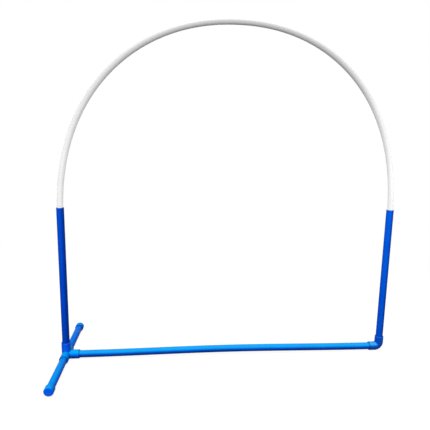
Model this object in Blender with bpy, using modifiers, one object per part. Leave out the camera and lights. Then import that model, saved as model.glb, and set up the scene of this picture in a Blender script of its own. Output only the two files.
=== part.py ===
"""Dog agility hoop: a springy white plastic arch standing in a knock-down base of blue PVC pipe.

Frame: metres, +Z up, +X along the crossbar towards the elbow, +Y away from the front foot.
The origin is on the floor, midway between the axes of the two uprights.
"""
import math

import bmesh
import bpy
from mathutils import Vector

# Pipe: nominal 3/4 inch thin-wall for the base, nominal 1/2 inch (21.34 mm across) for the arch
PIPE_OD = 0.02667
PIPE_WALL = 0.00152
ARCH_WALL = 0.00277

# Cut lengths of the straight pipes
BASE_PIPE_LENGTH = 1.175
UPRIGHT_LENGTH = 0.5334
FOOT_PIPE_LENGTH = 0.225

# Moulded fittings and end caps
SOCKET_DEPTH = 0.0254
HUB_WALL = 0.0029
CROSS_STOP = 0.0226
ELBOW_STOP = 0.0156
ELBOW_INNER_ROUND = 0.001
RIM_ROUND = 0.0008
LEAD_IN = 0.0005
CAP_END_WALL = 0.005
CAP_EDGE_ROUND = 0.004
CAP_DEPTH = 0.01905

# Shape of the arch above the uprights, and of the crossbar that its spring bends upwards. The two
# exponents square the arch's curve a little, and the crown leans towards the elbow.
ARCH_RISE = 0.642
ARCH_WIDTH_EXPONENT = 2.11
ARCH_HEIGHT_EXPONENT = 2.35
ARCH_LEAN = 0.0067
BAR_BOW = 0.006

# Clearances: round a pipe in its socket, between a pipe's end and its stop, and round the arch's
# legs in the uprights; the share of that last one that the legs' spring uses up; how far past its
# socket's rim an upright is pulled; and how far the stop ledges reach in under the legs' ends
SOCKET_FIT = 0.0003
SEAT_GAP = 0.0003
LEG_FIT = 0.001145
LEG_SHARE = 0.8
PULL_PAST = 0.0016
LEG_LEDGE = 0.00092

# Facets of the round pieces
SIDES = 32
ARCH_SIDES = 24
ARCH_SPANS = 64
BAR_SPANS = 14
BEND_SPANS = 8
EDGE_SPANS = 5
RIM_SPANS = 2

# Edges sharper than these are rounded on a hub's rims, and shaded as edges
RIM_ANGLE = math.radians(60)
SHARP_ANGLE = math.radians(40)

# How near two points of one mesh are before they are one point
MERGE_DISTANCE = 0.00001
# How far a cutter runs past the face that it opens
CUT_PAST = 0.002
# How much narrower a branch's waterway is than the one that it opens into
CORE_STEP = 0.00025

PIPE_RADIUS = PIPE_OD / 2
PIPE_BORE_RADIUS = PIPE_RADIUS - PIPE_WALL
ARCH_RADIUS = PIPE_BORE_RADIUS - LEG_FIT
WATERWAY_RADIUS = ARCH_RADIUS - LEG_LEDGE
SOCKET_RADIUS = PIPE_RADIUS + SOCKET_FIT
HUB_RADIUS = SOCKET_RADIUS + HUB_WALL
CROSS_REACH = CROSS_STOP + SOCKET_DEPTH
ELBOW_REACH = ELBOW_STOP + SOCKET_DEPTH
ELBOW_BEND_RADIUS = HUB_RADIUS + ELBOW_INNER_ROUND
AXIS_HEIGHT = HUB_RADIUS
UPRIGHT_SPACING = CROSS_STOP + BASE_PIPE_LENGTH + ELBOW_STOP + 2 * SEAT_GAP
LEFT_X = -UPRIGHT_SPACING / 2
RIGHT_X = UPRIGHT_SPACING / 2
LEFT_STOP_Z = AXIS_HEIGHT + CROSS_STOP
RIGHT_STOP_Z = AXIS_HEIGHT + ELBOW_STOP
LEFT_TOP_Z = LEFT_STOP_Z + SEAT_GAP + UPRIGHT_LENGTH
RIGHT_TOP_Z = RIGHT_STOP_Z + SEAT_GAP + UPRIGHT_LENGTH
HIGHER_TOP_Z = max(LEFT_TOP_Z, RIGHT_TOP_Z)
# The legs stand towards the uprights' outer walls and begin to bend inside them. The bend starts so
# far down that a leg comes as near to the inner wall where a pulled upright's top is.
LEG_SWAY = LEG_SHARE * LEG_FIT
LEG_X = RIGHT_X + LEG_SWAY
UPRIGHT_PULL = SOCKET_DEPTH + PULL_PAST
BENT_SHARE = (1 - (1 - 2 * LEG_SWAY / LEG_X) ** ARCH_WIDTH_EXPONENT) ** (1 / ARCH_HEIGHT_EXPONENT)
CURVE_HEIGHT = (ARCH_RISE - UPRIGHT_PULL) / (1 - BENT_SHARE)
SPRING_Z = HIGHER_TOP_Z + ARCH_RISE - CURVE_HEIGHT
FOOT_PIPE_START = CROSS_STOP + SEAT_GAP
FOOT_REACH = FOOT_PIPE_START + FOOT_PIPE_LENGTH + SEAT_GAP + CAP_END_WALL

# Linear colours and roughness of the plastics
BLUE_PIPE = ((0.004, 0.105, 0.68), 0.33)
BLUE_MOULDED = ((0.004, 0.12, 0.72), 0.30)
WHITE_PIPE = ((0.83, 0.83, 0.82), 0.35)

# Turns that lay a shape built along +Z along another axis
ALONG_X = (0, math.pi / 2, 0)
ALONG_MINUS_X = (0, -math.pi / 2, 0)
ALONG_Y = (-math.pi / 2, 0, 0)
ALONG_MINUS_Y = (math.pi / 2, 0, 0)
ALONG_Z = (0, 0, 0)
UPSIDE_DOWN = (math.pi, 0, 0)

# The four-way fitting's sockets: two in a straight run, and two that branch off it
RUN_PORTS = (("front", ALONG_MINUS_Y), ("rear", ALONG_Y))
BRANCH_PORTS = (("up", ALONG_Z), ("bar", ALONG_X))

PARTS = "dog_agility_hoop"
GUIDES = "cutters"


def clear_scene():
    for obj in list(bpy.data.objects):
        bpy.data.objects.remove(obj, do_unlink=True)


def add_collection(name):
    bpy.context.scene.collection.children.link(bpy.data.collections.new(name))


def plastic(name, look):
    colour, roughness = look
    material = bpy.data.materials.new(name)
    material.use_nodes = True
    shader = material.node_tree.nodes["Principled BSDF"]
    shader.inputs["Base Color"].default_value = (*colour, 1)
    shader.inputs["Roughness"].default_value = roughness
    shader.inputs["Metallic"].default_value = 0
    material.diffuse_color = (*colour, 1)
    return material


def place(obj, location, rotation):
    obj.location = location
    obj.rotation_euler = rotation
    return obj


def make_part(obj, look):
    """Puts an object among the parts, with a material of its own and smooth round sides."""
    bpy.data.collections[PARTS].objects.link(obj)
    obj.data.materials.append(plastic(obj.name + "_plastic", look))
    obj.data.shade_smooth()
    obj.data.set_sharp_from_angle(angle=SHARP_ANGLE)
    return obj


def make_guide(obj):
    """Puts a cutter, or a body that is joined into a part, where renders and the build leave it out."""
    bpy.data.collections[GUIDES].objects.link(obj)
    obj.hide_render = True
    obj.display_type = "WIRE"
    return obj


def turned(name, profile, closed):
    """A solid of revolution round Z; the profile's (radius, height) points run down its outer side."""
    mesh = bpy.data.meshes.new(name)
    edges = [(i, i + 1) for i in range(len(profile) - 1)]
    if closed:
        edges.append((len(profile) - 1, 0))
    mesh.from_pydata([(radius, 0, height) for radius, height in profile], edges, [])
    obj = bpy.data.objects.new(name, mesh)
    screw = obj.modifiers.new("Turn", "SCREW")
    screw.axis = "Z"
    screw.angle = 2 * math.pi
    screw.steps = SIDES
    screw.render_steps = SIDES
    screw.use_merge_vertices = True
    screw.merge_threshold = MERGE_DISTANCE
    return obj


def straight_pipe(name, length):
    """A piece of the base's pipe that stands on its origin."""
    profile = [(PIPE_RADIUS, length), (PIPE_RADIUS, 0), (PIPE_BORE_RADIUS, 0), (PIPE_BORE_RADIUS, length)]
    return turned(name, profile, True)


def cylinder(name, radius, low, high):
    mesh = bpy.data.meshes.new(name)
    bm = bmesh.new()
    bmesh.ops.create_cone(bm, cap_ends=True, segments=SIDES, radius1=radius, radius2=radius, depth=high - low)
    bmesh.ops.translate(bm, verts=bm.verts, vec=(0, 0, (high + low) / 2))
    bm.to_mesh(mesh)
    bm.free()
    return bpy.data.objects.new(name, mesh)


def swept(name, points, radius, sides, caps):
    """A round bar, or its open skin, that follows the points."""
    curve = bpy.data.curves.new(name, "CURVE")
    curve.dimensions = "3D"
    curve.twist_mode = "MINIMUM"
    curve.bevel_depth = radius
    curve.bevel_resolution = sides // 2 - 2
    curve.use_fill_caps = caps
    spline = curve.splines.new("POLY")
    spline.points.add(len(points) - 1)
    for target, point in zip(spline.points, points):
        target.co = (*point, 1)
    wire = bpy.data.objects.new(name + "_path", curve)
    bpy.context.scene.collection.objects.link(wire)
    evaluated = wire.evaluated_get(bpy.context.evaluated_depsgraph_get())
    mesh = bpy.data.meshes.new_from_object(evaluated)
    mesh.name = name
    bm = bmesh.new()
    bm.from_mesh(mesh)
    bmesh.ops.remove_doubles(bm, verts=bm.verts, dist=MERGE_DISTANCE)
    bm.to_mesh(mesh)
    bm.free()
    obj = bpy.data.objects.new(name, mesh)
    obj.matrix_world = wire.matrix_world
    bpy.data.objects.remove(wire, do_unlink=True)
    return obj


def hollow(obj, wall):
    """Gives a swept skin its pipe wall, inwards."""
    shell = obj.modifiers.new("Wall", "SOLIDIFY")
    shell.thickness = wall
    shell.offset = -1
    shell.use_rim = True
    return obj


def round_rims(obj):
    """Rounds a moulded hub's outer rims, and not the facets of its side."""
    bevel = obj.modifiers.new("Rims", "BEVEL")
    bevel.width = RIM_ROUND
    bevel.segments = RIM_SPANS
    bevel.limit_method = "ANGLE"
    bevel.angle_limit = RIM_ANGLE
    return obj


def combine(obj, other, operation):
    boolean = obj.modifiers.new(other.name, "BOOLEAN")
    boolean.operation = operation
    boolean.solver = "EXACT"
    boolean.object = other


def socket_cutter(name, stop, location, rotation):
    """Opens a socket from its stop to its rim, with a lead-in at the mouth."""
    rim = stop + SOCKET_DEPTH
    mouth = SOCKET_RADIUS + LEAD_IN
    profile = [(0, rim + CUT_PAST), (mouth, rim + CUT_PAST), (mouth, rim),
               (SOCKET_RADIUS, rim - LEAD_IN), (SOCKET_RADIUS, stop), (0, stop)]
    return place(make_guide(turned(name, profile, False)), location, rotation)


def build_four_way():
    """Four sockets at one corner: front and rear in a run, one up, one along the crossbar."""
    corner = (LEFT_X, 0, AXIS_HEIGHT)
    run = cylinder("four_way_fitting", HUB_RADIUS, -CROSS_REACH, CROSS_REACH)
    fitting = place(make_part(round_rims(run), BLUE_MOULDED), corner, ALONG_Y)
    for name, rotation in BRANCH_PORTS:
        hub = make_guide(round_rims(cylinder(name + "_hub", HUB_RADIUS, 0, CROSS_REACH)))
        combine(fitting, place(hub, corner, rotation), "UNION")
    for name, rotation in RUN_PORTS + BRANCH_PORTS:
        combine(fitting, socket_cutter(name + "_socket", CROSS_STOP, corner, rotation), "DIFFERENCE")
    past_stop = CROSS_STOP + CUT_PAST
    run_bore = make_guide(cylinder("run_waterway", WATERWAY_RADIUS, -past_stop, past_stop))
    combine(fitting, place(run_bore, corner, ALONG_Y), "DIFFERENCE")
    for name, rotation in BRANCH_PORTS:
        bore = make_guide(cylinder(name + "_waterway", WATERWAY_RADIUS - CORE_STEP, 0, past_stop))
        combine(fitting, place(bore, corner, rotation), "DIFFERENCE")


def elbow_path(reach):
    """From the crossbar's side, round the bend and up, about the corner of the two axes."""
    bend = ELBOW_BEND_RADIUS
    points = [(-reach, 0, 0)]
    for i in range(BEND_SPANS + 1):
        angle = math.pi / 2 * i / BEND_SPANS
        points.append((-bend + bend * math.sin(angle), 0, bend - bend * math.cos(angle)))
    points.append((0, 0, reach))
    return points


def build_elbow():
    """The right-angle corner under the right upright."""
    corner = (RIGHT_X, 0, AXIS_HEIGHT)
    body = swept("elbow", elbow_path(ELBOW_REACH), HUB_RADIUS, SIDES, True)
    elbow = place(make_part(round_rims(body), BLUE_MOULDED), corner, ALONG_Z)
    for name, rotation in (("elbow_bar", ALONG_MINUS_X), ("elbow_up", ALONG_Z)):
        combine(elbow, socket_cutter(name + "_socket", ELBOW_STOP, corner, rotation), "DIFFERENCE")
    bore_reach = max(ELBOW_STOP, ELBOW_BEND_RADIUS) + CUT_PAST
    bore = swept("elbow_waterway", elbow_path(bore_reach), WATERWAY_RADIUS, ARCH_SIDES, True)
    combine(elbow, place(make_guide(bore), corner, ALONG_Z), "DIFFERENCE")


def build_base_pipe():
    """The crossbar: straight in its two sockets and bowed slightly upwards between them."""
    start = CROSS_STOP + SEAT_GAP
    bow_start = SOCKET_DEPTH - SEAT_GAP
    bow_length = BASE_PIPE_LENGTH - 2 * bow_start
    points = [(0, 0, 0)]
    for i in range(BAR_SPANS + 1):
        share = i / BAR_SPANS
        lift = BAR_BOW * (1 - math.cos(2 * math.pi * share)) / 2
        points.append((bow_start + bow_length * share, 0, lift))
    points.append((BASE_PIPE_LENGTH, 0, 0))
    skin = swept("base_pipe", points, PIPE_RADIUS, ARCH_SIDES, False)
    place(make_part(hollow(skin, PIPE_WALL), BLUE_PIPE), (LEFT_X + start, 0, AXIS_HEIGHT), ALONG_Z)


def build_upright(name, x, stop_z):
    """A plain pipe that stands on its socket's stop; the arch's leg goes down inside it."""
    place(make_part(straight_pipe(name, UPRIGHT_LENGTH), BLUE_PIPE), (x, 0, stop_z + SEAT_GAP), ALONG_Z)


def cap_profile():
    """A cap that stands on its closed end, the socket's mouth up."""
    rim = CAP_END_WALL + CAP_DEPTH
    mouth = SOCKET_RADIUS + LEAD_IN
    profile = [(SOCKET_RADIUS, CAP_END_WALL), (SOCKET_RADIUS, rim - LEAD_IN), (mouth, rim)]
    profile.append((HUB_RADIUS - RIM_ROUND, rim))
    profile.append((HUB_RADIUS, rim - RIM_ROUND))
    for i in range(EDGE_SPANS + 1):
        angle = math.pi / 2 * i / EDGE_SPANS
        radius = HUB_RADIUS - CAP_EDGE_ROUND * (1 - math.cos(angle))
        profile.append((radius, CAP_EDGE_ROUND * (1 - math.sin(angle))))
    return [(0, CAP_END_WALL)] + profile + [(0, 0)]


def build_foot(side, rotation, direction):
    """A foot pipe, with its origin at its socketed end, and the cap on its far end."""
    pipe = make_part(straight_pipe(side + "_foot_pipe", FOOT_PIPE_LENGTH), BLUE_PIPE)
    place(pipe, (LEFT_X, direction * FOOT_PIPE_START, AXIS_HEIGHT), rotation)
    cap = make_part(turned(side + "_foot_cap", cap_profile(), False), BLUE_MOULDED)
    cap.parent = pipe
    place(cap, (0, 0, FOOT_REACH - FOOT_PIPE_START), UPSIDE_DOWN)


def arch_points(origin):
    """Centre line: straight legs on the sockets' stops, and a slightly squared half-ellipse over them.

    The curve begins inside the uprights, where the legs have some play, and the crown stands a little
    towards the elbow. The points are closer together where the legs begin to bend.
    """
    points = [Vector((LEG_X, 0, RIGHT_STOP_Z + SEAT_GAP))]
    for i in range(ARCH_SPANS + 1):
        share = i / ARCH_SPANS
        angle = math.pi * share - math.sin(2 * math.pi * share) / 4
        across = math.copysign(abs(math.cos(angle)) ** (2 / ARCH_WIDTH_EXPONENT), math.cos(angle))
        up = abs(math.sin(angle)) ** (2 / ARCH_HEIGHT_EXPONENT)
        points.append(Vector((LEG_X * across + ARCH_LEAN * up ** 2, 0, SPRING_Z + CURVE_HEIGHT * up)))
    points.append(Vector((-LEG_X, 0, LEFT_STOP_Z + SEAT_GAP)))
    return [point - origin for point in points]


def build_arch():
    """One pipe, about ten feet long, sprung into an arch; it lifts straight up out of the uprights."""
    origin = Vector((LEFT_X, 0, LEFT_STOP_Z + SEAT_GAP))
    skin = swept("arch_pipe", arch_points(origin), ARCH_RADIUS, ARCH_SIDES, False)
    place(make_part(hollow(skin, ARCH_WALL), WHITE_PIPE), origin, ALONG_Z)


clear_scene()
add_collection(PARTS)
add_collection(GUIDES)
build_four_way()
build_elbow()
build_base_pipe()
build_upright("left_upright_pipe", LEFT_X, LEFT_STOP_Z)
build_upright("right_upright_pipe", RIGHT_X, RIGHT_STOP_Z)
build_foot("front", ALONG_MINUS_Y, -1)
build_foot("rear", ALONG_Y, 1)
build_arch()
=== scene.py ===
import math

import bmesh
import bpy
from mathutils import Matrix, Vector


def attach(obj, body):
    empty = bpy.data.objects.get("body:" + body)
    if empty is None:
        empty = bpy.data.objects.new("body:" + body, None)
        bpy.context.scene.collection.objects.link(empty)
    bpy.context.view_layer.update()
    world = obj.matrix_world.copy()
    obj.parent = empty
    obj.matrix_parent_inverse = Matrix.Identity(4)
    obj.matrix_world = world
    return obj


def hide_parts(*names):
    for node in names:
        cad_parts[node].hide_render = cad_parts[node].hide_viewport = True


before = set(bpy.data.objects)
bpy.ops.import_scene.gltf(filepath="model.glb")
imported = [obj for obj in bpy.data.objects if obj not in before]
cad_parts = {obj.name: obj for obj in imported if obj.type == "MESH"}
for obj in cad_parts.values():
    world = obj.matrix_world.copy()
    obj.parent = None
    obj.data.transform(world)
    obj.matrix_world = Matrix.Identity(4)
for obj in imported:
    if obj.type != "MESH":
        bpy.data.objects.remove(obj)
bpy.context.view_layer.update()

# Camera: it stands low in front of the hoop, a little left of its middle, and looks slightly down. Its
# place, turn and lens were fitted to the pipes' edges in the photograph.
CAMERA_PLACE = (-0.2118915, -1.6061994, 0.8371506)
CAMERA_YAW = 0.095684
CAMERA_PITCH = 0.178375
CAMERA_ROLL = 0.017329
CAMERA_LENS = 37.6073
CAMERA_SENSOR = 36
NEAREST_SEEN = 0.02
bpy.ops.object.select_all(action="DESELECT")
bpy.ops.object.camera_add(location=CAMERA_PLACE)
camera = bpy.context.object
camera.name = "camera"
heading = Matrix.Rotation(-CAMERA_YAW, 3, "Z")
tilt = Matrix.Rotation(math.pi / 2 - CAMERA_PITCH, 3, "X")
camera.rotation_euler = (heading @ tilt @ Matrix.Rotation(CAMERA_ROLL, 3, "Z")).to_euler()
camera.data.sensor_width = CAMERA_SENSOR
camera.data.lens = CAMERA_LENS
camera.data.clip_start = NEAREST_SEEN
bpy.context.scene.camera = camera


# Corner fitting: one moulding of blue PVC with four sockets, a straight run from front to rear, one
# socket up and one along the crossbar. The hubs meet in soft fillets, and each socket has a flat
# rim, a small lead-in, and a stop ledge that the pipe stands on.
HUB_RADIUS = 0.016535
SOCKET_RADIUS = 0.013635
SOCKET_MOUTH = 0.014135
LEAD_IN = 0.0005
RIM_ROUND = 0.0008
RIM_STEPS = 5
WATERWAY_RADIUS = 0.00975
AXIS_HEIGHT = 0.016535
LEFT_X = -0.6069
CORNER = Vector((LEFT_X, 0, AXIS_HEIGHT))
CORNER_REACH = 0.048
CORNER_STOP = 0.0226
CORNER_FILLET = 0.0016
FILLET_STEPS = 5
MEETING_ANGLE = math.radians(14)
SMOOTH_ANGLE = math.radians(32)
FITTING_SIDES = 96
NEAR = 0.00002
WELD_REACH = 0.000005
CUT_REACH = 0.000001
TO_FRONT = Vector((0, -1, 0))
TO_REAR = Vector((0, 1, 0))
TO_RIGHT = Vector((1, 0, 0))
TO_LEFT = Vector((-1, 0, 0))
UP = Vector((0, 0, 1))


def pick(kind, test):
    """In edit mode, selects the vertices, edges or faces that pass the test, and nothing else."""
    bpy.ops.mesh.select_mode(type=kind)
    bpy.ops.mesh.select_all(action="DESELECT")
    shape = bmesh.from_edit_mesh(bpy.context.object.data)
    items = {"VERT": shape.verts, "EDGE": shape.edges, "FACE": shape.faces}[kind]
    for item in items:
        if test(item):
            item.select_set(True)
    shape.select_flush_mode()
    bmesh.update_edit_mesh(bpy.context.object.data)


def open_tube(name, radius, start, axis, length):
    """A round skin without ends, from the start along the axis, left in edit mode."""
    bpy.ops.object.select_all(action="DESELECT")
    turn = UP.rotation_difference(axis).to_euler()
    bpy.ops.mesh.primitive_cylinder_add(
        vertices=FITTING_SIDES, radius=radius, depth=length, end_fill_type="NOTHING",
        location=start + axis * length / 2, rotation=turn)
    tube = bpy.context.object
    tube.name = name
    bpy.ops.object.transform_apply(location=True, rotation=True, scale=True)
    bpy.ops.object.mode_set(mode="EDIT")
    return tube


def mitre(side, keep):
    """Cuts the faces on one side of the corner at 45 degrees, and keeps what lies towards keep."""
    keep = Vector(keep)

    def on_side(face):
        offset = face.calc_center_median() - CORNER
        return all(sign == 0 or sign * value > 0 for sign, value in zip(side, offset))

    def beyond_cut(face):
        return on_side(face) and (face.calc_center_median() - CORNER).dot(keep) < 0

    pick("FACE", on_side)
    bpy.ops.mesh.bisect(plane_co=CORNER, plane_no=keep, threshold=CUT_REACH)
    pick("FACE", beyond_cut)
    bpy.ops.mesh.delete(type="FACE")


def join_pieces(pieces, name):
    """Joins the pieces into the first, and welds the edges that they share."""
    bpy.ops.object.select_all(action="DESELECT")
    for piece in pieces:
        piece.select_set(True)
    bpy.context.view_layer.objects.active = pieces[0]
    bpy.ops.object.join()
    bpy.context.object.name = name
    bpy.ops.object.mode_set(mode="EDIT")
    bpy.ops.mesh.select_all(action="SELECT")
    bpy.ops.mesh.remove_doubles(threshold=NEAR)
    bpy.ops.object.mode_set(mode="OBJECT")
    return bpy.context.object


def crossed_hubs(name, radius, reach):
    """The skin of round hubs that meet at the corner: front to rear, up, and along the crossbar."""
    run = open_tube(name + "_run", radius, CORNER + TO_FRONT * reach, TO_REAR, 2 * reach)
    bpy.ops.mesh.select_all(action="SELECT")
    bpy.ops.mesh.bisect(plane_co=CORNER, plane_no=TO_REAR)
    mitre((0, 1, 1), (0, 1, -1))
    mitre((0, -1, 1), (0, -1, -1))
    mitre((1, 1, 0), (-1, 1, 0))
    mitre((1, -1, 0), (-1, -1, 0))
    bpy.ops.object.mode_set(mode="OBJECT")
    up_hub = open_tube(name + "_up", radius, CORNER, UP, reach)
    mitre((0, 1, 0), (0, -1, 1))
    mitre((0, -1, 0), (0, 1, 1))
    mitre((1, 0, 0), (-1, 0, 1))
    bpy.ops.object.mode_set(mode="OBJECT")
    bar_hub = open_tube(name + "_bar", radius, CORNER, TO_RIGHT, reach)
    mitre((0, 1, 0), (1, -1, 0))
    mitre((0, -1, 0), (1, 1, 0))
    mitre((0, 0, 1), (1, 0, -1))
    bpy.ops.object.mode_set(mode="OBJECT")
    return join_pieces([run, up_hub, bar_hub], name)


def sink_socket(centre, axis, reach, hub_radius, stop):
    """Turns a hub's open end inwards: flat rim, lead-in, socket wall down to the stop, and its ledge."""
    rim = centre + axis * reach
    pick("EDGE", lambda edge: all(abs((vert.co - rim).dot(axis)) < NEAR for vert in edge.verts))
    radius_now = hub_radius
    depth_now = 0
    profile = ((SOCKET_MOUTH, 0), (SOCKET_RADIUS, LEAD_IN), (SOCKET_RADIUS, reach - stop),
               (WATERWAY_RADIUS, reach - stop))
    for radius, depth in profile:
        bpy.ops.mesh.extrude_region_move(TRANSFORM_OT_translate={"value": axis * (depth_now - depth)})
        share = radius / radius_now
        bpy.ops.transform.resize(value=(share, share, share), center_override=rim - axis * depth)
        radius_now = radius
        depth_now = depth


def round_rim(centre, axis, reach, hub_radius, width=RIM_ROUND, steps=RIM_STEPS):
    """Rounds the outer edge of a round end that lies at the given reach from the centre."""
    rim = centre + axis * reach

    def on_outer_edge(edge):
        for vert in edge.verts:
            offset = vert.co - rim
            if abs(offset.dot(axis)) > NEAR or abs(offset.length - hub_radius) > NEAR:
                return False
        return True

    pick("EDGE", on_outer_edge)
    bpy.ops.mesh.bevel(offset=width, segments=steps, affect="EDGES")


def close_skin(piece):
    """Points a closed piece's faces outwards and shades its round sides smooth."""
    bpy.ops.object.select_all(action="DESELECT")
    piece.select_set(True)
    bpy.context.view_layer.objects.active = piece
    bpy.ops.object.mode_set(mode="EDIT")
    bpy.ops.mesh.select_all(action="SELECT")
    bpy.ops.mesh.remove_doubles(threshold=WELD_REACH)
    bpy.ops.mesh.normals_make_consistent(inside=False)
    bpy.ops.object.mode_set(mode="OBJECT")
    bpy.ops.object.shade_smooth_by_angle(angle=SMOOTH_ANGLE)


# The blue is cloudy and scuffed where it meets the ground. Painted light makes it paler on top. Painted
# shade darkens it underneath, on its right-hand side in each set's third blue, at its edges and in the side
# mouths. A painted highlight makes the fittings' top rims paler.
# Each set's third blue is painted shade on the side that faces right.
CORNER_BLUES = ((0.0006, 0.080, 0.64), (0.0010, 0.098, 0.74), (0.0004, 0.040, 0.44))
# Painted light: the paler blue that upward faces blend towards.
TOP_LIT_BLUE = (0.0015, 0.338, 0.84)
# Painted shade: the near-black blue that down-facing faces blend towards.
UNDER_SHADE_BLUE = (0.0004, 0.004, 0.09)
# Painted shade where the surface turns away from the viewer.
EDGE_SHADE_BLUE = (0.0006, 0.045, 0.25)
# Painted shade in the mouths along the crossbar and the feet, where the pipe goes in.
MOUTH_SHADE_BLUE = (0.0005, 0.035, 0.20)
# Painted highlight: the paler blue of the fittings' top rims.
RIM_HIGHLIGHT_BLUE = (0.018, 0.15, 0.84)
SCUFFED_BLUE = (0.10, 0.26, 0.62)
PVC_IOR = 1.53
BLUE_GLOSS = 0.01
BLUE_GLINT = (0.01, 0.60, 1.0)
CLOUDS_PER_METRE = 16
# How much painted light the upward faces take, and how much less of it the pieces above the lying height
# take.
TOP_LIGHT_FROM = -0.05
TOP_LIGHT_FULL = 0.75
CLOUD_TOP_LIGHT = (0.88, 1.0)
TOP_LIGHT_CUT_HEIGHT = 0.045
TOP_LIGHT_CUT_BLEND = 0.006
UPRIGHT_TOP_LIGHT = 0.3
# Painted shade under things begins at this facing.
UNDER_SHADE_FROM = -0.65
# Painted shade on right-hand sides grows over this span of facing.
SIDE_SHADE_SPAN = 0.9
# How much painted shade the edges take, and how much less of it on top.
EDGE_SHADE_MOST = 0.75
EDGE_SHADE_ON_TOP = 0.35
# The fittings' shares of painted top light, painted under shade and painted side shade.
FITTING_TOP_LIGHT = 1.0
FITTING_UNDER_SHADE = 0.9
FITTING_SIDE_SHADE = 0.6
# Over this last reach of each hub: painted shade in the side mouths, and a painted highlight on the top rim.
PAINTED_RIM_START = 0.0016
PAINTED_RIM_FULL = 0.0010
BAR_MOUTH_SHADE_MOST = 0.85
FOOT_MOUTH_SHADE_MOST = 0.2
RIM_HIGHLIGHT_MOST = 0.75
SCRATCHES_PER_METRE = 320
SCRATCH_STRETCH = (1, 1, 0.2)
SCRATCH_MOST = 0.18
SCUFFS_PER_METRE = 500
SCUFF_HEIGHT = 0.004
SCUFF_PALENESS = 0.5
SKIN_PER_METRE = 60
SKIN_ROUGHNESS = (0.27, 0.36)
WORN_ROUGHNESS = 0.3
SEAM_HALF = 0.00008
SEAM_FOOT = 0.00028
TEXTURE_PER_METRE = 700
TEXTURE_SHARE = 0.35
MOULDED_DEPTH = 0.00004


def add_node(tree, kind, inputs, **settings):
    """A shader node; an input is given a value, or another node's output to read."""
    node = tree.nodes.new("ShaderNode" + kind)
    for name, value in settings.items():
        setattr(node, name, value)
    for name, value in inputs.items():
        if isinstance(value, bpy.types.NodeSocket):
            tree.links.new(value, node.inputs[name])
        else:
            node.inputs[name].default_value = value
    return node


def ramp(tree, value, low, high, at_low=0.0, at_high=1.0, smooth=True):
    """Gives at_low up to low and at_high from high on, with a soft or a straight passage between."""
    kind = "SMOOTHSTEP" if smooth else "LINEAR"
    span = {"Value": value, "From Min": low, "From Max": high, "To Min": at_low, "To Max": at_high}
    return add_node(tree, "MapRange", span, interpolation_type=kind).outputs["Result"]


def blend_colour(tree, share, first, second):
    """The first colour, with the given share of the second."""
    node = add_node(tree, "Mix", {0: share, 6: first, 7: second}, data_type="RGBA")
    return node.outputs[2]


def calculate(tree, operation, first, second=0):
    """The result of a sum, product or other operation on one or two numbers."""
    return add_node(tree, "Math", {0: first, 1: second}, operation=operation).outputs[0]


def noise(tree, place, scale, detail, stretch=(1, 1, 1)):
    """Cloudy noise at the given number of patches to the metre, drawn out by the stretch."""
    mapped = add_node(tree, "Mapping", {"Vector": place, "Scale": stretch})
    node = add_node(tree, "TexNoise", {"Vector": mapped.outputs[0], "Scale": scale, "Detail": detail})
    return node.outputs[0]


def new_plastic(name, gloss):
    """A PVC material of the given gloss, with its node tree and its shader."""
    material = bpy.data.materials.new(name)
    material.use_nodes = True
    tree = material.node_tree
    shader = tree.nodes["Principled BSDF"]
    shader.inputs["IOR"].default_value = PVC_IOR
    shader.inputs["Specular IOR Level"].default_value = gloss
    return material, tree, shader


def blue_plastic(name, blues, most_top_light, most_under_shade, side_shade_from, most_side_shade, top_lit_blue, top_light_from):
    """A cloudy blue between the first two that are given. It is faded on top, and has kept its depth
    underneath and on its right-hand side, where it has the third blue."""
    material, tree, shader = new_plastic(name, BLUE_GLOSS)
    shader.inputs["Specular Tint"].default_value = (*BLUE_GLINT, 1)
    place = add_node(tree, "TexCoord", {})
    spot = place.outputs["Object"]
    cloud = noise(tree, spot, CLOUDS_PER_METRE, 3)
    blue = blend_colour(tree, ramp(tree, cloud, 0.35, 0.65), (*blues[0], 1), (*blues[1], 1))
    normal = add_node(tree, "SeparateXYZ", {"Vector": place.outputs["Normal"]})
    facing = normal.outputs["Z"]
    # Painted light: faces that look up blend towards the top-lit blue, and less so above the lying pieces'
    # height.
    upper_light = ramp(tree, facing, top_light_from, TOP_LIGHT_FULL, 0.0, most_top_light)
    top_light = calculate(tree, "MULTIPLY", upper_light, ramp(tree, cloud, 0.2, 0.7, *CLOUD_TOP_LIGHT))
    height_up = add_node(tree, "SeparateXYZ", {"Vector": spot}).outputs["Z"]
    lying_light = ramp(tree, height_up, TOP_LIGHT_CUT_HEIGHT, TOP_LIGHT_CUT_HEIGHT + TOP_LIGHT_CUT_BLEND, 1.0, UPRIGHT_TOP_LIGHT)
    top_light = calculate(tree, "MULTIPLY", top_light, lying_light)
    top_lit = blend_colour(tree, top_light, blue, (*top_lit_blue, 1))
    # Painted shade: faces that look down blend towards the under blue.
    under_shade = ramp(tree, facing, UNDER_SHADE_FROM, 0.0, most_under_shade, 0.0)
    shaded = blend_colour(tree, under_shade, top_lit, (*UNDER_SHADE_BLUE, 1))
    # Painted shade: faces turned to the right blend towards the third blue.
    side_shade = ramp(tree, normal.outputs["X"], side_shade_from, side_shade_from + SIDE_SHADE_SPAN, 0.0, most_side_shade)
    shaded = blend_colour(tree, side_shade, shaded, (*blues[2], 1))
    # Painted shade: where the surface turns away from the viewer, less on top, it blends towards the edge
    # blue.
    turned_away = add_node(tree, "LayerWeight", {"Blend": 0.5}).outputs["Facing"]
    edge = calculate(tree, "MULTIPLY", ramp(tree, turned_away, 0.2, 0.85, 0.0, EDGE_SHADE_MOST),
                     ramp(tree, facing, 0.0, 0.8, 1.0, EDGE_SHADE_ON_TOP))
    edge_shaded = blend_colour(tree, edge, shaded, (*EDGE_SHADE_BLUE, 1))
    return material, tree, shader, place, edge_shaded


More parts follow.
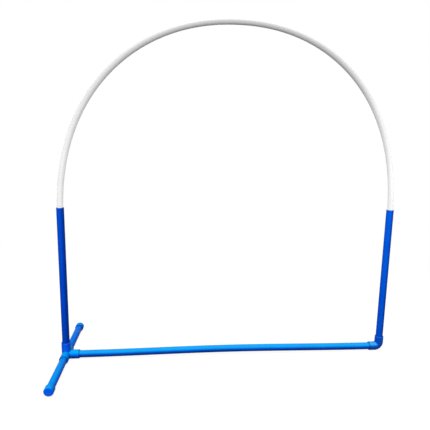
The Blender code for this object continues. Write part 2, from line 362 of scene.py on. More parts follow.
def finish_plastic(tree, shader, colour, roughness, height, depth):
    """Joins the colour, the roughness and the bump to the shader."""
    tree.links.new(colour, shader.inputs["Base Color"])
    tree.links.new(roughness, shader.inputs["Roughness"])
    bump = add_node(tree, "Bump", {"Height": height, "Strength": 1.0, "Distance": depth})
    tree.links.new(bump.outputs["Normal"], shader.inputs["Normal"])


def moulded_blue(name, blues, side_shade_from, seam_axis, seam_place, centre, reach,
                 top_lit_blue=TOP_LIT_BLUE, top_light_from=TOP_LIGHT_FROM):
    """Moulded blue with a faint skin texture, a fine parting line and scuffs underneath. Painted shade
    darkens the mouth along the crossbar, and faintly the feet's, and a painted highlight makes the rim on
    top paler."""
    material, tree, shader, place, colour = blue_plastic(
        name, blues, FITTING_TOP_LIGHT, FITTING_UNDER_SHADE, side_shade_from, FITTING_SIDE_SHADE, top_lit_blue, top_light_from)
    spot = place.outputs["Object"]
    axes = add_node(tree, "SeparateXYZ", {"Vector": spot})
    offset = add_node(tree, "VectorMath", {0: spot, 1: centre}, operation="SUBTRACT").outputs[0]
    apart = add_node(tree, "VectorMath", {0: offset}, operation="ABSOLUTE").outputs[0]
    reaches = add_node(tree, "SeparateXYZ", {"Vector": apart})
    start = reach - PAINTED_RIM_START
    full = reach - PAINTED_RIM_FULL
    # Painted shade: the mouths along the crossbar, and faintly the feet's, darken.
    bar_mouth_shade = ramp(tree, reaches.outputs["X"], start, full, 0.0, BAR_MOUTH_SHADE_MOST)
    foot_mouth_shade = ramp(tree, reaches.outputs["Y"], start, full, 0.0, FOOT_MOUTH_SHADE_MOST)
    mouth_shade = calculate(tree, "MAXIMUM", bar_mouth_shade, foot_mouth_shade)
    colour = blend_colour(tree, mouth_shade, colour, (*MOUTH_SHADE_BLUE, 1))
    # Painted highlight: the rim on top turns paler.
    top_rim_highlight = ramp(tree, reaches.outputs["Z"], start, full, 0.0, RIM_HIGHLIGHT_MOST)
    colour = blend_colour(tree, top_rim_highlight, colour, (*RIM_HIGHLIGHT_BLUE, 1))
    scratches = ramp(tree, noise(tree, spot, SCRATCHES_PER_METRE, 6, SCRATCH_STRETCH), 0.62, 0.74)
    low = ramp(tree, axes.outputs["Z"], 0.0, SCUFF_HEIGHT, 1.0, 0.0)
    scuffs = calculate(tree, "MULTIPLY", low,
                       ramp(tree, noise(tree, spot, SCUFFS_PER_METRE, 5), 0.42, 0.6))
    worn = calculate(tree, "MAXIMUM", calculate(tree, "MULTIPLY", scratches, SCRATCH_MOST), scuffs)
    pale = calculate(tree, "MULTIPLY", worn, SCUFF_PALENESS)
    colour = blend_colour(tree, pale, colour, (*SCUFFED_BLUE, 1))
    skin = ramp(tree, noise(tree, spot, SKIN_PER_METRE, 3), 0.3, 0.7, *SKIN_ROUGHNESS)
    roughness = calculate(tree, "ADD", skin, calculate(tree, "MULTIPLY", worn, WORN_ROUGHNESS))
    off_seam = calculate(tree, "SUBTRACT", axes.outputs[seam_axis], seam_place)
    off_seam = calculate(tree, "ABSOLUTE", off_seam)
    seam = ramp(tree, off_seam, SEAM_HALF, SEAM_FOOT, 1.0, 0.0)
    texture = noise(tree, spot, TEXTURE_PER_METRE, 2)
    height = calculate(tree, "ADD", calculate(tree, "MULTIPLY", texture, TEXTURE_SHARE), seam)
    finish_plastic(tree, shader, colour, roughness, height, MOULDED_DEPTH)
    return material


CORNER_PORTS = (TO_FRONT, TO_REAR, UP, TO_RIGHT)
corner_skin = crossed_hubs("corner_fitting", HUB_RADIUS, CORNER_REACH)
bpy.ops.object.mode_set(mode="EDIT")
pick("EDGE", lambda edge: len(edge.link_faces) == 2 and edge.calc_face_angle() > MEETING_ANGLE)
bpy.ops.mesh.bevel(offset=CORNER_FILLET, segments=FILLET_STEPS, affect="EDGES")
for port in CORNER_PORTS:
    sink_socket(CORNER, port, CORNER_REACH, HUB_RADIUS, CORNER_STOP)
    round_rim(CORNER, port, CORNER_REACH, HUB_RADIUS)
bpy.ops.object.mode_set(mode="OBJECT")
corner_waterway = crossed_hubs("corner_waterway", WATERWAY_RADIUS, CORNER_STOP)
corner_fitting = join_pieces([corner_skin, corner_waterway], "corner_fitting")
close_skin(corner_fitting)
corner_blue = moulded_blue("corner_blue", CORNER_BLUES, side_shade_from=0.05, seam_axis="X",
                           seam_place=LEFT_X, centre=CORNER, reach=CORNER_REACH)
corner_fitting.data.materials.append(corner_blue)
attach(corner_fitting, "base")
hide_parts("four_way_fitting")


# Elbow: a moulded blue bend with a socket along the crossbar and one up. Its outer corner is a wide
# round and its inner corner is tight, as on a furniture-grade fitting. Its bar hub lies on the ground.
RIGHT_X = 0.6069
ELBOW_CORNER = Vector((RIGHT_X, 0, AXIS_HEIGHT))
ELBOW_REACH = 0.041
ELBOW_STOP = 0.0156
ELBOW_BEND = 0.017535
ELBOW_STEPS = 24
# The elbow's third blue is painted shade on its right-hand side. The blue after it is painted light on its
# top and a painted highlight on its upper hub, from the facing that follows.
ELBOW_BLUES = ((0.0006, 0.066, 0.48), (0.0010, 0.080, 0.56), (0.0004, 0.016, 0.14))
ELBOW_TOP_LIT_BLUE = (0.042, 0.38, 0.88)
ELBOW_TOP_LIGHT_FROM = 0.18
ELBOW_GLOSS = 0.05
ELBOW_GLINT = (0.4, 0.8, 1.0)


def bent_hubs(name, radius, reach, bend):
    """The skin of a round bend: in along the crossbar, round the corner and up."""
    bpy.ops.object.select_all(action="DESELECT")
    bpy.ops.mesh.primitive_circle_add(
        vertices=FITTING_SIDES, radius=radius, location=ELBOW_CORNER + TO_LEFT * reach,
        rotation=(0, math.pi / 2, 0))
    skin = bpy.context.object
    skin.name = name
    bpy.ops.object.transform_apply(location=True, rotation=True, scale=True)
    bpy.ops.object.mode_set(mode="EDIT")
    pick("EDGE", lambda edge: True)
    straight = reach - bend
    if straight > NEAR:
        bpy.ops.mesh.extrude_region_move(TRANSFORM_OT_translate={"value": TO_RIGHT * straight})
    centre = ELBOW_CORNER + TO_LEFT * bend + UP * bend
    bpy.ops.mesh.spin(steps=ELBOW_STEPS, angle=math.pi / 2, center=centre, axis=(0, 1, 0))
    if straight > NEAR:
        bpy.ops.mesh.extrude_region_move(TRANSFORM_OT_translate={"value": UP * straight})
    return skin


elbow_skin = bent_hubs("elbow_fitting", HUB_RADIUS, ELBOW_REACH, ELBOW_BEND)
for port in (TO_LEFT, UP):
    sink_socket(ELBOW_CORNER, port, ELBOW_REACH, HUB_RADIUS, ELBOW_STOP)
    round_rim(ELBOW_CORNER, port, ELBOW_REACH, HUB_RADIUS)
bpy.ops.object.mode_set(mode="OBJECT")
elbow_waterway = bent_hubs("elbow_waterway", WATERWAY_RADIUS, ELBOW_STOP, ELBOW_STOP)
bpy.ops.object.mode_set(mode="OBJECT")
elbow_fitting = join_pieces([elbow_skin, elbow_waterway], "elbow_fitting")
close_skin(elbow_fitting)
elbow_blue = moulded_blue("elbow_blue", ELBOW_BLUES, side_shade_from=-0.3, seam_axis="Y", seam_place=0,
                          centre=ELBOW_CORNER, reach=ELBOW_REACH,
                          top_lit_blue=ELBOW_TOP_LIT_BLUE, top_light_from=ELBOW_TOP_LIGHT_FROM)
elbow_shader = elbow_blue.node_tree.nodes["Principled BSDF"]
elbow_shader.inputs["Specular IOR Level"].default_value = ELBOW_GLOSS
elbow_shader.inputs["Specular Tint"].default_value = (*ELBOW_GLINT, 1)
elbow_fitting.data.materials.append(elbow_blue)
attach(elbow_fitting, "base")
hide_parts("elbow")


# Crossbar: a straight cut of thin-walled blue PVC pipe, pushed into both fittings. The arch's spring
# turns the fittings outwards a little, so the bar bows up a few millimetres in its middle.
PIPE_RADIUS = 0.013335
PIPE_WALL = 0.00152
PIPE_SIDES = 72
SAW_ROUND = 0.0003
SAW_STEPS = 3
SHARP_ANGLE = 1
FACES_THAT_WAY = 0.9
BAR_START = LEFT_X + 0.0229
BAR_LENGTH = 1.175
BAR_HELD = 0.0251
BAR_BOW = 0.006
BAR_STEPS = 96
BAR_RINGS = (95,)
# The crossbar's third blue is painted shade on its right-hand side. The blue after it is painted light on
# its top.
BAR_BLUES = ((0.0006, 0.050, 0.44), (0.0010, 0.062, 0.52), (0.0004, 0.020, 0.18))
BAR_TOP_LIT_BLUE = (0.007, 0.325, 0.80)
# The pipes' skin has draw lines and fine scratches, scuffs underneath, and ends that are grooved by the saw.
# How much painted shade the pipes take underneath.
PIPE_UNDER_SHADE = 0.7
LINES_PER_METRE = 900
DRAWN_OUT = 0.02
PIPE_SCRATCHES_PER_METRE = 260
PIPE_SCRATCH_STRETCH = (1, 0.6, 0.8)
PIPE_SCRATCH_MOST = 0.15
SCRATCH_CUT = -0.3
PIPE_SCUFFS_PER_METRE = 420
PIPE_UNDERSIDE = 0.0032
PIPE_SCUFF_TOP = 0.0050
PIPE_SCUFF_PALENESS = 0.45
PIPE_SCUFFED_BLUE = (0.09, 0.24, 0.60)
DRAWN_ROUGHNESS = (0.31, 0.40)
DRAWN_DEPTH = 0.00002
SAWN_BLUE = (0.0010, 0.035, 0.26)
SAWN_PALE_BLUE = (0.002, 0.060, 0.38)
SAWN_GLOSS = 0.1
SAWN_ROUGHNESS = (0.5, 0.68)
GROOVES_PER_METRE = 900
GROOVE_STRETCH = (1, 0.15, 0.15)
GROOVE_DEPTH = 0.00006


def sawn_pipe(name, sides, radius, wall, start, axis, length, rings, materials):
    """A cut length of pipe: its ends are inset and joined through, eased, and rough from the saw."""
    bpy.ops.object.select_all(action="DESELECT")
    turn = UP.rotation_difference(axis).to_euler()
    bpy.ops.mesh.primitive_cylinder_add(
        vertices=sides, radius=radius, depth=length, location=start + axis * length / 2, rotation=turn)
    pipe = bpy.context.object
    pipe.name = name
    bpy.ops.object.transform_apply(location=True, rotation=True, scale=True)
    for material in materials:
        pipe.data.materials.append(material)
    bpy.ops.object.mode_set(mode="EDIT")
    pick("FACE", lambda face: len(face.verts) == sides)
    bpy.ops.mesh.inset(thickness=wall)
    bpy.ops.mesh.bridge_edge_loops()
    pick("FACE", lambda face: abs(face.normal.dot(axis)) > FACES_THAT_WAY)
    pipe.active_material_index = 1
    bpy.ops.object.material_slot_assign()
    pick("EDGE", lambda edge: edge.calc_face_angle() > SHARP_ANGLE)
    bpy.ops.mesh.bevel(offset=SAW_ROUND, segments=SAW_STEPS, affect="EDGES")
    for cuts in rings:
        pick("EDGE", lambda edge: abs((edge.verts[1].co - edge.verts[0].co).dot(axis)) > 2 * SAW_ROUND)
        bpy.ops.mesh.subdivide(number_cuts=cuts)
    bpy.ops.object.mode_set(mode="OBJECT")
    return pipe


def bend_along(pipe, path):
    """Bends a pipe that lies along +X from the origin so that its axis follows the path."""
    bpy.ops.object.select_all(action="DESELECT")
    bpy.ops.object.add(type="CURVE")
    line = bpy.context.object
    line.data.dimensions = "3D"
    spline = line.data.splines.new("POLY")
    spline.points.add(len(path) - 1)
    for point, place in zip(spline.points, path):
        point.co = (*place, 1)
    bpy.ops.object.select_all(action="DESELECT")
    pipe.select_set(True)
    bpy.context.view_layer.objects.active = pipe
    bend = pipe.modifiers.new("Bend", "CURVE")
    bend.object = line
    bend.deform_axis = "POS_X"
    bpy.ops.object.modifier_apply(modifier=bend.name)
    bpy.data.objects.remove(line, do_unlink=True)


def path_length(path):
    """The length of a path of straight steps."""
    return sum((after - before).length for before, after in zip(path, path[1:]))


def extruded_blue(name, blues, most_top_light, side_shade_from, most_side_shade, stretch, top_lit_blue=TOP_LIT_BLUE):
    """Satin extruded blue with faint draw lines along the pipe; the stretch says which way it runs."""
    material, tree, shader, place, colour = blue_plastic(
        name, blues, most_top_light, PIPE_UNDER_SHADE, side_shade_from, most_side_shade, top_lit_blue, TOP_LIGHT_FROM)
    spot = place.outputs["Object"]
    height_up = add_node(tree, "SeparateXYZ", {"Vector": spot}).outputs["Z"]
    lines = noise(tree, spot, LINES_PER_METRE, 3, stretch)
    scratches = ramp(tree, noise(tree, spot, PIPE_SCRATCHES_PER_METRE, 6, PIPE_SCRATCH_STRETCH),
                     0.64, 0.76)
    low = ramp(tree, height_up, PIPE_UNDERSIDE, PIPE_SCUFF_TOP, 1.0, 0.0)
    scuffs = calculate(tree, "MULTIPLY", low,
                       ramp(tree, noise(tree, spot, PIPE_SCUFFS_PER_METRE, 5), 0.45, 0.62))
    worn = calculate(tree, "MAXIMUM", calculate(tree, "MULTIPLY", scratches, PIPE_SCRATCH_MOST), scuffs)
    pale = calculate(tree, "MULTIPLY", worn, PIPE_SCUFF_PALENESS)
    colour = blend_colour(tree, pale, colour, (*PIPE_SCUFFED_BLUE, 1))
    skin = ramp(tree, lines, 0.3, 0.7, *DRAWN_ROUGHNESS)
    roughness = calculate(tree, "ADD", skin, calculate(tree, "MULTIPLY", worn, WORN_ROUGHNESS))
    height = calculate(tree, "ADD", lines, calculate(tree, "MULTIPLY", scratches, SCRATCH_CUT))
    finish_plastic(tree, shader, colour, roughness, height, DRAWN_DEPTH)
    return material


def sawn_end(name, colour, pale):
    """A saw-cut end: between two given shades, dull, and grooved by the blade's teeth."""
    material, tree, shader = new_plastic(name, SAWN_GLOSS)
    spot = add_node(tree, "TexCoord", {}).outputs["Object"]
    grooves = noise(tree, spot, GROOVES_PER_METRE, 3, GROOVE_STRETCH)
    mixed = blend_colour(tree, ramp(tree, grooves, 0.35, 0.65), (*colour, 1), (*pale, 1))
    roughness = ramp(tree, grooves, 0.2, 0.8, *SAWN_ROUGHNESS)
    finish_plastic(tree, shader, mixed, roughness, grooves, GROOVE_DEPTH)
    return material


blue_cut = sawn_end("blue_saw_cut", SAWN_BLUE, SAWN_PALE_BLUE)
bar_path = [Vector((BAR_START, 0, AXIS_HEIGHT))]
for step in range(BAR_STEPS + 1):
    share = step / BAR_STEPS
    lift = BAR_BOW * (1 - math.cos(2 * math.pi * share)) / 2
    along = BAR_START + BAR_HELD + (BAR_LENGTH - 2 * BAR_HELD) * share
    bar_path.append(Vector((along, 0, AXIS_HEIGHT + lift)))
bar_path.append(Vector((BAR_START + BAR_LENGTH, 0, AXIS_HEIGHT)))
bar_blue = extruded_blue("crossbar_blue", BAR_BLUES, most_top_light=1.0, side_shade_from=0.05, most_side_shade=0.6,
                         stretch=(DRAWN_OUT, 1, 1), top_lit_blue=BAR_TOP_LIT_BLUE)
crossbar = sawn_pipe("crossbar", PIPE_SIDES, PIPE_RADIUS, PIPE_WALL, Vector((0, 0, 0)), TO_RIGHT,
                     path_length(bar_path), BAR_RINGS, (bar_blue, blue_cut))
bend_along(crossbar, bar_path)
close_skin(crossbar)
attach(crossbar, "base")
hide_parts("base_pipe")


# Feet: two short cuts of the same blue pipe, one to the front and one to the rear of the corner fitting.
# They keep the hoop from tipping, and pull out so that it packs flat.
FOOT_START = 0.0229
FOOT_LENGTH = 0.225
# Each foot's third blue is painted shade on its right-hand side.
FRONT_FOOT_BLUES = ((0.0006, 0.070, 0.74), (0.0010, 0.085, 0.84), (0.0004, 0.015, 0.48))
REAR_FOOT_BLUES = ((0.0006, 0.096, 0.84), (0.0010, 0.108, 0.92), (0.0004, 0.030, 0.44))
front_foot_blue = extruded_blue("front_foot_blue", FRONT_FOOT_BLUES, most_top_light=0.80, side_shade_from=0.1,
                                most_side_shade=0.5, stretch=(1, DRAWN_OUT, 1))
rear_foot_blue = extruded_blue("rear_foot_blue", REAR_FOOT_BLUES, most_top_light=0.45, side_shade_from=0.1,
                               most_side_shade=0.45, stretch=(1, DRAWN_OUT, 1))
front_foot = sawn_pipe("front_foot", PIPE_SIDES, PIPE_RADIUS, PIPE_WALL, CORNER + TO_FRONT * FOOT_START,
                       TO_FRONT, FOOT_LENGTH, (), (front_foot_blue, blue_cut))
close_skin(front_foot)


def turned_copy(piece, name):
    """A copy with its own mesh, turned half round about the corner fitting's upright axis."""
    bpy.ops.object.select_all(action="DESELECT")
    piece.select_set(True)
    bpy.context.view_layer.objects.active = piece
    bpy.ops.object.duplicate()
    twin = bpy.context.object
    twin.name = name
    bpy.ops.transform.rotate(value=math.pi, orient_axis="Z", center_override=CORNER)
    bpy.ops.object.transform_apply(location=True, rotation=True, scale=True)
    return twin


rear_foot = turned_copy(front_foot, "rear_foot")
rear_foot.data.materials[0] = rear_foot_blue
for foot, body, node in ((front_foot, "front_foot", "front_foot_pipe"),
                         (rear_foot, "rear_foot", "rear_foot_pipe")):
    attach(foot, body)
    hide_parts(node)


# End caps: short moulded blue cups pressed over the feet, with a flat end inside a well rounded edge. The
# middle of each end has the shallow dimple and the sheared stub of the mould's gate. A cap shows no parting
# line, no painted mouth shade and no painted rim highlight, so the places of all three are put well beyond
# it.
CAP_MOUTH = 0.22915
CAP_END = 0.2532
CAP_WALL = 0.005
CAP_EDGE = 0.004
CAP_EDGE_STEPS = 14
GATE_RADIUS = 0.0034
GATE_DEPTH = 0.0003
GATE_SLOPE = 0.0014
STUB_RADIUS = 0.0007
STUB_HEIGHT = 0.0002
# The caps' third blue is painted shade on their right-hand side.
CAP_BLUES = ((0.0006, 0.100, 0.78), (0.0010, 0.116, 0.86), (0.0004, 0.030, 0.32))
NO_SEAM = 10
NO_MOUTH = 1.0
cap_length = CAP_END - CAP_MOUTH
bpy.ops.object.select_all(action="DESELECT")
bpy.ops.mesh.primitive_cylinder_add(
    vertices=FITTING_SIDES, radius=HUB_RADIUS, depth=cap_length,
    location=CORNER + TO_FRONT * (CAP_MOUTH + CAP_END) / 2, rotation=(math.pi / 2, 0, 0))
front_cap = bpy.context.object
front_cap.name = "front_cap"
bpy.ops.object.transform_apply(location=True, rotation=True, scale=True)
bpy.ops.object.mode_set(mode="EDIT")
pick("FACE", lambda face: face.normal.y > FACES_THAT_WAY)
bpy.ops.mesh.inset(thickness=HUB_RADIUS - SOCKET_MOUTH)
bpy.ops.mesh.extrude_region_move(TRANSFORM_OT_translate={"value": TO_FRONT * LEAD_IN})
narrower = SOCKET_RADIUS / SOCKET_MOUTH
lead_in_end = CORNER + TO_FRONT * (CAP_MOUTH + LEAD_IN)
bpy.ops.transform.resize(value=(narrower, narrower, narrower), center_override=lead_in_end)
bore = TO_FRONT * (cap_length - CAP_WALL - LEAD_IN)
bpy.ops.mesh.extrude_region_move(TRANSFORM_OT_translate={"value": bore})
pick("FACE", lambda face: face.normal.y < -FACES_THAT_WAY)
bpy.ops.mesh.inset(thickness=HUB_RADIUS - GATE_RADIUS - GATE_SLOPE)
bpy.ops.mesh.inset(thickness=GATE_SLOPE)
bpy.ops.transform.translate(value=TO_REAR * GATE_DEPTH)
bpy.ops.mesh.inset(thickness=GATE_RADIUS - STUB_RADIUS)
bpy.ops.mesh.extrude_region_move(TRANSFORM_OT_translate={"value": TO_FRONT * STUB_HEIGHT})
round_rim(CORNER, TO_FRONT, CAP_END, HUB_RADIUS, CAP_EDGE, CAP_EDGE_STEPS)
round_rim(CORNER, TO_FRONT, CAP_MOUTH, HUB_RADIUS)
bpy.ops.object.mode_set(mode="OBJECT")
close_skin(front_cap)
cap_blue = moulded_blue("cap_blue", CAP_BLUES, side_shade_from=0.05, seam_axis="Y", seam_place=NO_SEAM,
                        centre=CORNER, reach=NO_MOUTH)
front_cap.data.materials.append(cap_blue)
rear_cap = turned_copy(front_cap, "rear_cap")
for cap, body, node in ((front_cap, "front_foot", "front_foot_cap"),
                        (rear_cap, "rear_foot", "rear_foot_cap")):
    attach(cap, body)
    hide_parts(node)


# Uprights: two equal cuts of the blue pipe, each standing on a fitting's stop. Their open tops are
# plain saw cuts, and take the white arch's legs.
UPRIGHT_LENGTH = 0.5334
LEFT_FOOT_Z = 0.039435
RIGHT_FOOT_Z = 0.032435
# Painted light and shade: the left upright's blues are darker and the right's lighter, two copies of one
# pipe for how the light falls on each. The third blue of each is painted shade on its right-hand side.
LEFT_SHADED_BLUES = ((0.0006, 0.053, 0.54), (0.0010, 0.060, 0.59), (0.0004, 0.018, 0.16))
RIGHT_LIT_BLUES = ((0.0008, 0.084, 0.66), (0.0012, 0.095, 0.72), (0.0004, 0.020, 0.18))
left_blue = extruded_blue("left_upright_blue", LEFT_SHADED_BLUES, most_top_light=1.0, side_shade_from=0.0,
                          most_side_shade=0.7, stretch=(1, 1, DRAWN_OUT))
right_blue = extruded_blue("right_upright_blue", RIGHT_LIT_BLUES, most_top_light=1.0, side_shade_from=-0.3,
                           most_side_shade=0.7, stretch=(1, 1, DRAWN_OUT))
left_upright = sawn_pipe("left_upright", PIPE_SIDES, PIPE_RADIUS, PIPE_WALL,
                         Vector((LEFT_X, 0, LEFT_FOOT_Z)), UP, UPRIGHT_LENGTH, (), (left_blue, blue_cut))
close_skin(left_upright)
bpy.ops.object.duplicate()
right_upright = bpy.context.object
right_upright.name = "right_upright"
right_upright.data.materials[0] = right_blue
bpy.ops.transform.translate(value=(RIGHT_X - LEFT_X, 0, RIGHT_FOOT_Z - LEFT_FOOT_Z))
bpy.ops.object.transform_apply(location=True, rotation=True, scale=True)
for upright, body, node in ((left_upright, "left_upright", "left_upright_pipe"),
                            (right_upright, "right_upright", "right_upright_pipe")):
    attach(upright, body)
    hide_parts(node)


# Arch: one ten-foot length of white PVC pipe, sprung into a slightly squared half-round. Its legs press
# against the uprights' outer walls, begin to bend a little below the uprights' tops, stand on the
# fittings' stops, and are rubbed where they slide in and out.
ARCH_RADIUS = 0.01067
ARCH_WALL = 0.00277
ARCH_SIDES = 48
LEG_X = 0.607816
SPRING_Z = 0.519023
CURVE_HEIGHT = 0.695812
WIDTH_POWER = 2 / 2.11
HEIGHT_POWER = 2 / 2.35
ARCH_LEAN = 0.0067
ARCH_STEPS = 240
ARCH_RINGS = (17, 17)
# The white is clouded with grey and rubbed at the legs' ends. Painted shade greys its left side and its
# crown, less on the crown's top, and darkens its underside.
PURE_WHITE = (0.94, 0.94, 0.935)
# The next white is painted shade on the arch's left side, and the grey of its random clouds.
SHADED_CLOUDED_WHITE = (0.83, 0.833, 0.83)
# Painted shade on the crown.
CROWN_SHADE_WHITE = (0.55, 0.555, 0.55)
# Painted shade on the arch's underside.
UNDER_SHADE_GREY = (0.25, 0.25, 0.25)
RUBBED_GREY = (0.42, 0.45, 0.50)
WHITE_GLOSS = 0.15
# How far along from the left end the painted shade reaches, and how deep it is.
LEFT_SHADE_UP_TO = 0.6
LEFT_SHADE_END = 2.4
LEFT_SHADE_MOST = 0.75
CLOUDED_MOST = 0.25
WHITE_CLOUDS_PER_METRE = 9
# Where along the arch the crown's painted shade begins and is full, and how much of it stays on top.
CROWN_SHADE_FROM = 0.58
CROWN_SHADE_FULL = 1.22
CROWN_SHADE_ON_TOP = 0.4
# How deep the painted shade underneath is.
UNDER_SHADE_MOST = 0.6
RUBBED_UP_TO = 0.50
RUB_END = 0.56
RUB_MOST = 0.12
STREAKS_PER_METRE = 700
STREAK_STRETCH = (0.05, 1, 1)
MARKS_PER_METRE = 90
MARK_STRETCH = (0.5, 1, 1)
MARK_MOST = 0.04
WHITE_ROUGHNESS = (0.34, 0.44)
WHITE_DEPTH = 0.000005
SAWN_WHITE = (0.72, 0.72, 0.71)
SAWN_PALE_WHITE = (0.84, 0.84, 0.83)

arch_path = [Vector((-LEG_X, 0, LEFT_FOOT_Z))]
for step in range(ARCH_STEPS + 1):
    angle = math.pi * (1 - step / ARCH_STEPS)
    across = math.copysign(abs(math.cos(angle)) ** WIDTH_POWER, math.cos(angle))
    rise = abs(math.sin(angle)) ** HEIGHT_POWER
    arch_path.append(Vector((LEG_X * across + ARCH_LEAN * rise ** 2, 0, SPRING_Z + CURVE_HEIGHT * rise)))
arch_path.append(Vector((LEG_X, 0, RIGHT_FOOT_Z)))


def white_pipe(name, length):
    """Satin white with draw lines; it reads its pattern from the pipe as it was before it was bent. Painted
    shade greys its left side and its crown, less on the crown's top, and darkens its underside."""
    material, tree, shader = new_plastic(name, WHITE_GLOSS)
    spot = add_node(tree, "Attribute", {}, attribute_name="before_bending").outputs["Vector"]
    along = add_node(tree, "SeparateXYZ", {"Vector": spot}).outputs["X"]
    from_end = calculate(tree, "MINIMUM", along, calculate(tree, "SUBTRACT", length, along))
    lines = noise(tree, spot, LINES_PER_METRE, 3, (DRAWN_OUT, 1, 1))
    cloud = noise(tree, spot, WHITE_CLOUDS_PER_METRE, 3)
    # Painted shade greys the left side of the arch; random clouds add grey too.
    shade_and_cloud = calculate(tree, "ADD", ramp(tree, along, LEFT_SHADE_UP_TO, LEFT_SHADE_END, LEFT_SHADE_MOST, 0.0),
                       ramp(tree, cloud, 0.4, 0.65, 0.0, CLOUDED_MOST))
    colour = blend_colour(tree, shade_and_cloud, (*PURE_WHITE, 1), (*SHADED_CLOUDED_WHITE, 1))
    normal = add_node(tree, "TexCoord", {}).outputs["Normal"]
    facing = add_node(tree, "SeparateXYZ", {"Vector": normal}).outputs["Z"]
    # Painted shade: away from the legs the crown darkens, less on its top.
    off_top_share = ramp(tree, facing, 0.2, 1.0, 1.0, CROWN_SHADE_ON_TOP, smooth=False)
    crown_shade = calculate(tree, "MULTIPLY", ramp(tree, from_end, CROWN_SHADE_FROM, CROWN_SHADE_FULL), off_top_share)
    colour = blend_colour(tree, crown_shade, colour, (*CROWN_SHADE_WHITE, 1))
    # Painted shade: down-facing faces darken.
    under_shade = ramp(tree, facing, -1.0, -0.4, UNDER_SHADE_MOST, 0.0, smooth=False)
    colour = blend_colour(tree, under_shade, colour, (*UNDER_SHADE_GREY, 1))
    rubbed = ramp(tree, from_end, RUBBED_UP_TO, RUB_END, 1.0, 0.0)
    streaks = ramp(tree, noise(tree, spot, STREAKS_PER_METRE, 5, STREAK_STRETCH), 0.56, 0.70)
    wear = calculate(tree, "MULTIPLY", rubbed, streaks)
    handled = ramp(tree, noise(tree, spot, MARKS_PER_METRE, 6, MARK_STRETCH), 0.66, 0.80, 0.0, MARK_MOST)
    worn = calculate(tree, "MAXIMUM", calculate(tree, "MULTIPLY", wear, RUB_MOST), handled)
    colour = blend_colour(tree, worn, colour, (*RUBBED_GREY, 1))
    skin = ramp(tree, lines, 0.3, 0.7, *WHITE_ROUGHNESS)
    roughness = calculate(tree, "ADD", skin, calculate(tree, "MULTIPLY", worn, WORN_ROUGHNESS))
    finish_plastic(tree, shader, colour, roughness, lines, WHITE_DEPTH)
    return material


arch_length = path_length(arch_path)
arch_white = white_pipe("arch_white", arch_length)
white_cut = sawn_end("white_saw_cut", SAWN_WHITE, SAWN_PALE_WHITE)
arch = sawn_pipe("arch", ARCH_SIDES, ARCH_RADIUS, ARCH_WALL, Vector((0, 0, 0)), TO_RIGHT, arch_length,
                 ARCH_RINGS, (arch_white, white_cut))
straight_places = [0.0] * (3 * len(arch.data.vertices))
arch.data.vertices.foreach_get("co", straight_places)
before_bending = arch.data.attributes.new("before_bending", "FLOAT_VECTOR", "POINT")
before_bending.data.foreach_set("vector", straight_places)
bend_along(arch, arch_path)
close_skin(arch)
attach(arch, "arch")
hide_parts("arch_pipe")


# Floor: a plain white studio floor that shows the hoop's soft shadow. The camera and reflections see
# it as white, and the light that it throws back on the pipes' undersides is kept low.
FLOOR_SIZE = 16
FLOOR_MIDDLE = (0, 2, 0)
THROWN_BACK = (0.22, 0.22, 0.22)
SHADOWED_GREY = (0.15, 0.15, 0.15)
WHITE = (1, 1, 1)
FLOOR_GLOW = 0.89
SHADOW_REACH = 1.0
ALL_WHITE_FROM = 2.2


def seen_directly(tree):
    """One for what the camera sees, straight, mirrored or through something clear, or else zero."""
    ray = add_node(tree, "LightPath", {})
    share = calculate(tree, "MAXIMUM", ray.outputs["Is Camera Ray"], ray.outputs["Is Glossy Ray"])
    return calculate(tree, "MAXIMUM", share, ray.outputs["Is Transmission Ray"])


bpy.ops.object.select_all(action="DESELECT")
bpy.ops.mesh.primitive_plane_add(size=FLOOR_SIZE, location=FLOOR_MIDDLE)
floor = bpy.context.object
floor.name = "floor"
bpy.ops.object.transform_apply(location=True, rotation=True, scale=True)
floor_look = bpy.data.materials.new("white_floor")
floor_look.use_nodes = True
floor_look.cycles.emission_sampling = "NONE"
floor_tree = floor_look.node_tree
floor_tree.nodes.remove(floor_tree.nodes["Principled BSDF"])
dull = add_node(floor_tree, "BsdfDiffuse", {"Color": (*THROWN_BACK, 1)})
bright = add_node(floor_tree, "BsdfDiffuse", {"Color": (*SHADOWED_GREY, 1)})
glow = add_node(floor_tree, "Emission", {"Color": (*WHITE, 1), "Strength": FLOOR_GLOW})
both = add_node(floor_tree, "AddShader", {0: bright.outputs[0], 1: glow.outputs[0]})
backdrop = add_node(floor_tree, "Emission", {"Color": (*WHITE, 1), "Strength": 1.0})
floor_spot = add_node(floor_tree, "TexCoord", {}).outputs["Object"]
away = add_node(floor_tree, "VectorMath", {0: floor_spot}, operation="LENGTH").outputs["Value"]
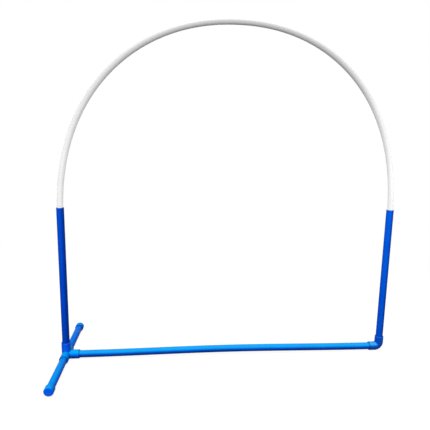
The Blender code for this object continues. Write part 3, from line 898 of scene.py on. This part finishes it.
far_share = ramp(floor_tree, away, SHADOW_REACH, ALL_WHITE_FROM)
swept = add_node(floor_tree, "MixShader", {0: far_share, 1: both.outputs[0], 2: backdrop.outputs[0]})
floor_seen = seen_directly(floor_tree)
chosen = add_node(floor_tree, "MixShader", {0: floor_seen, 1: dull.outputs[0], 2: swept.outputs[0]})
floor_tree.links.new(chosen.outputs[0], floor_tree.nodes["Material Output"].inputs["Surface"])
floor.data.materials.append(floor_look)


# Light: a broad soft lamp overhead, a main one in front, weaker ones far to the left, on the right and
# behind, and a dim pale surround, which the camera and reflections see as plain white.
SURROUND_LIGHT = 0.32
world = bpy.data.worlds.new("studio")
bpy.context.scene.world = world
world.use_nodes = True
world_tree = world.node_tree
surround = world_tree.nodes["Background"]
surround.inputs["Color"].default_value = (*WHITE, 1)
world_strength = ramp(world_tree, seen_directly(world_tree), 0, 1, SURROUND_LIGHT, 1.0, smooth=False)
world_tree.links.new(world_strength, surround.inputs["Strength"])


def soft_lamp(name, place, aim, width, height, power):
    """A rectangular soft lamp that faces the point it is aimed at."""
    bpy.ops.object.select_all(action="DESELECT")
    direction = (Vector(aim) - Vector(place)).to_track_quat("-Z", "Y").to_euler()
    bpy.ops.object.light_add(type="AREA", location=place, rotation=direction)
    lamp = bpy.context.object
    lamp.name = name
    lamp.data.shape = "RECTANGLE"
    lamp.data.size = width
    lamp.data.size_y = height
    lamp.data.energy = power


soft_lamp("overhead", place=(-0.2, -0.4, 4.4), aim=(0, 0, 0.2), width=2.6, height=2.0, power=98)
soft_lamp("key", place=(-0.5, -2.4, 1.2), aim=(0, 0, 0.4), width=1.3, height=1.3, power=31)
soft_lamp("left_side", place=(-5.0, -2.6, 1.6), aim=(0, 0, 0.6), width=2.4, height=2.4, power=80)
soft_lamp("right_side", place=(2.1, -1.1, 1.4), aim=(0.4, 0, 0.8), width=0.9, height=1.2, power=21)
soft_lamp("behind", place=(0.4, 3.2, 1.7), aim=(0, 0, 0.5), width=2.0, height=2.0, power=18)

bpy.context.scene.view_settings.view_transform = "Standard"
